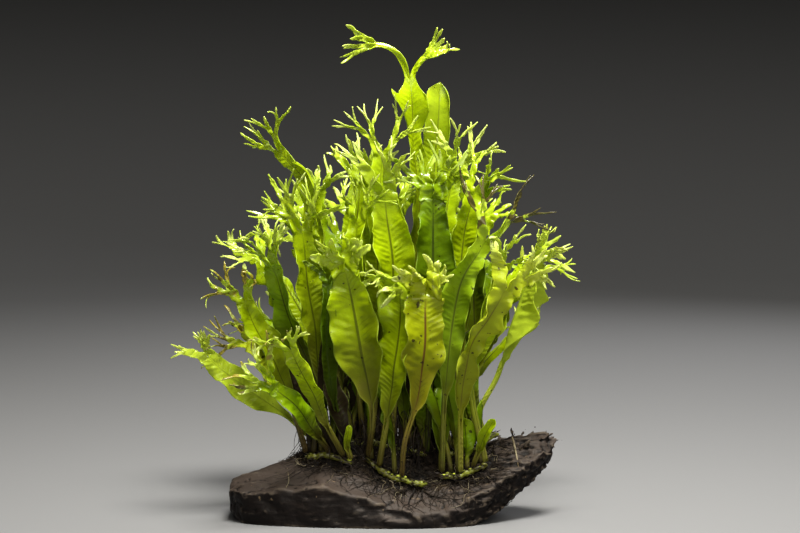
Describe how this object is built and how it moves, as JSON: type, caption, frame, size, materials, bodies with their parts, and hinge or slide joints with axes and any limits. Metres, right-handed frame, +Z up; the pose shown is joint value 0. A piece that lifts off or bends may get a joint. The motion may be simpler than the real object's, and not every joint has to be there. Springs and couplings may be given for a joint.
{
  "type": "windelov java fern on driftwood",
  "caption": "Crested java fern growing on a flat-based piece of dark driftwood: creeping rhizomes, matted roots and many thin lance-shaped fronds with forked, antler-like tips.",
  "frame": {"origin": "on the driftwood's flat underside, below the middle of the plant", "axes": "+Z up, +X to the viewer's right along the driftwood, -Y towards the viewer"},
  "size_m": [0.1625, 0.1091, 0.1979],
  "materials": {
    "driftwood": "waterlogged bog wood, nearly black, fine grained, with a dull wet sheen",
    "rhizome": "green creeping stem, knobbly, with dark scales and yellow-green lit tops",
    "roots": "matted dark brown hair roots with specks of moss",
    "fresh_frond": "thin translucent lime-green frond, lightly glossy, with a darker midrib",
    "deep_frond": "thin translucent mid-green frond, lightly glossy, with a dark midrib",
    "yellow_frond": "ageing yellow-green frond with a red-brown midrib and brown-tinged crest",
    "old_frond": "dead frond stalk, dark brown and dull"
  },
  "bodies": {
    "root": {"driftwood": "driftwood", "rhizome_front": "rhizome", "rhizome_left": "rhizome", "rhizome_right": "rhizome", "rhizome_ridge": "rhizome", "rhizome_far": "rhizome", "rhizome_back": "rhizome", "root_mat_left": "roots", "root_mat_middle": "roots", "root_mat_right": "roots", "root_mat_back": "roots", "frond_01": "yellow_frond", "frond_02": "fresh_frond", "frond_03": "fresh_frond", "frond_04": "fresh_frond", "frond_05": "deep_frond", "frond_06": "deep_frond", "frond_07": "fresh_frond", "frond_08": "yellow_frond", "frond_09": "fresh_frond", "frond_10": "fresh_frond", "frond_11": "yellow_frond", "frond_12": "deep_frond", "frond_13": "fresh_frond", "frond_14": "deep_frond", "frond_15": "yellow_frond", "frond_16": "fresh_frond", "frond_17": "fresh_frond", "frond_18": "fresh_frond", "frond_19": "fresh_frond", "frond_20": "fresh_frond", "frond_21": "fresh_frond", "frond_22": "fresh_frond", "frond_23": "fresh_frond", "frond_24": "fresh_frond", "frond_25": "deep_frond", "frond_26": "fresh_frond", "frond_27": "fresh_frond", "frond_28": "old_frond", "frond_29": "fresh_frond", "frond_30": "fresh_frond", "frond_31": "fresh_frond", "frond_32": "deep_frond", "frond_33": "fresh_frond", "frond_34": "fresh_frond", "frond_35": "deep_frond", "frond_36": "fresh_frond", "frond_37": "fresh_frond", "frond_38": "fresh_frond", "frond_39": "fresh_frond", "frond_40": "deep_frond", "frond_41": "fresh_frond", "frond_42": "fresh_frond", "frond_43": "deep_frond", "frond_44": "fresh_frond", "frond_45": "deep_frond", "frond_46": "fresh_frond", "frond_47": "fresh_frond", "frond_48": "deep_frond", "frond_49": "fresh_frond"}
  },
  "joints": []
}
